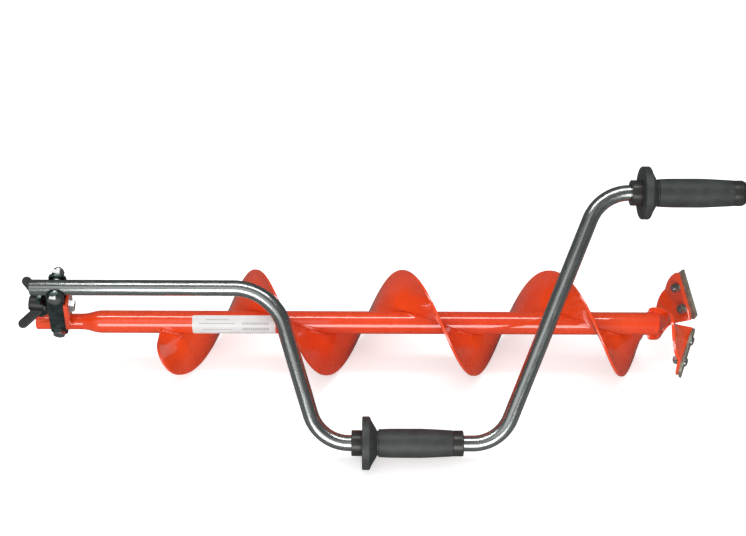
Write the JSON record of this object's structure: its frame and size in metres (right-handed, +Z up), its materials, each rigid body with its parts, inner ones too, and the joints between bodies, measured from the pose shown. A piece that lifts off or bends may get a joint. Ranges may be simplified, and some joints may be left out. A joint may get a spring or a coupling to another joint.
{
  "type": "ice fishing auger",
  "caption": "Folding hand ice auger: helical flight on a tube, two bolted blades, and a cranked two-grip handle folded back along it.",
  "frame": {"origin": "on the ground under the middle of the folded tool's bounding box", "axes": "+X along the screw, from the hinge to the blades; +Z up; the lower grip lies in front, at -Y"},
  "size_m": [0.8287, 0.269, 0.2507],
  "materials": {
    "painted_steel": "gloss",
    "blade_steel": "ground",
    "zinc_fasteners": "satin",
    "zinc_plates": "satin",
    "bush_steel": "satin",
    "insert_brass": "satin",
    "bright_tube": "polished",
    "black_plastic": "satin",
    "hard_plastic": "satin",
    "soft_grip": "matte",
    "label_paper": "satin"
  },
  "bodies": {
    "auger": {"auger_tube": "painted_steel", "auger_flight": "painted_steel", "neck_pivot_bush": "bush_steel", "blade_holder_a": "painted_steel", "blade_holder_b": "painted_steel", "blade_a": "blade_steel", "blade_b": "blade_steel", "blade_screws": "zinc_fasteners", "blade_washers": "zinc_fasteners", "blade_nuts": "zinc_fasteners", "tube_label": "label_paper"},
    "link": {"link_plate_front": "zinc_plates", "link_plate_back": "zinc_plates", "neck_pivot_bolt": "zinc_fasteners", "handle_pivot_bolt": "zinc_fasteners", "pivot_washers": "zinc_fasteners", "pivot_lock_nuts": "zinc_fasteners", "saddle": "painted_steel", "clamp_bolt": "zinc_fasteners"},
    "clamp_shoe": {"clamp_shoe": "zinc_plates", "clamp_washer": "zinc_fasteners"},
    "wing_knob": {"wing_knob": "black_plastic", "wing_insert": "insert_brass"},
    "handle": {"handle_tube": "bright_tube", "handle_pivot_bush": "bush_steel", "upper_end_cap": "black_plastic"},
    "lower_grip": {"lower_grip": "soft_grip", "lower_grip_sleeve": "hard_plastic"},
    "upper_grip": {"upper_grip": "soft_grip", "upper_grip_sleeve": "hard_plastic"}
  },
  "joints": [
    {"name": "link_fold", "type": "hinge", "parent": "auger", "child": "link", "pos_m": [-0.37684, 0.04442, 0.063], "axis": [0, -0.9719, -0.2354], "range_deg": [0, 99.3]},
    {"name": "handle_fold", "type": "hinge", "parent": "link", "child": "handle", "pos_m": [-0.36264, 0.02401, 0.14725], "axis": [0, -0.9719, -0.2354], "range_deg": [0, 80.7]},
    {"name": "clamp_travel", "type": "slide", "parent": "link", "child": "clamp_shoe", "axis": [0.9869, 0.038, -0.1571], "range_m": [0, 0.00719]},
    {"name": "wing_spin", "type": "hinge", "parent": "clamp_shoe", "child": "wing_knob", "pos_m": [-0.39407, 0.03328, 0.109], "axis": [0.9869, 0.038, -0.1571], "range_deg": [0, 2070]},
    {"name": "lower_grip_spin", "type": "hinge", "parent": "handle", "child": "lower_grip", "pos_m": [0.03389, -0.10455, 0.03], "axis": [1, 0, 0], "continuous": true},
    {"name": "upper_grip_spin", "type": "hinge", "parent": "handle", "child": "upper_grip", "pos_m": [0.34734, 0.10455, 0.2207], "axis": [1, 0, 0], "continuous": true}
  ],
  "couplings": [
    {"joint": "clamp_travel", "follows": "wing_spin", "m_per_rad": 0.00019894}
  ]
}
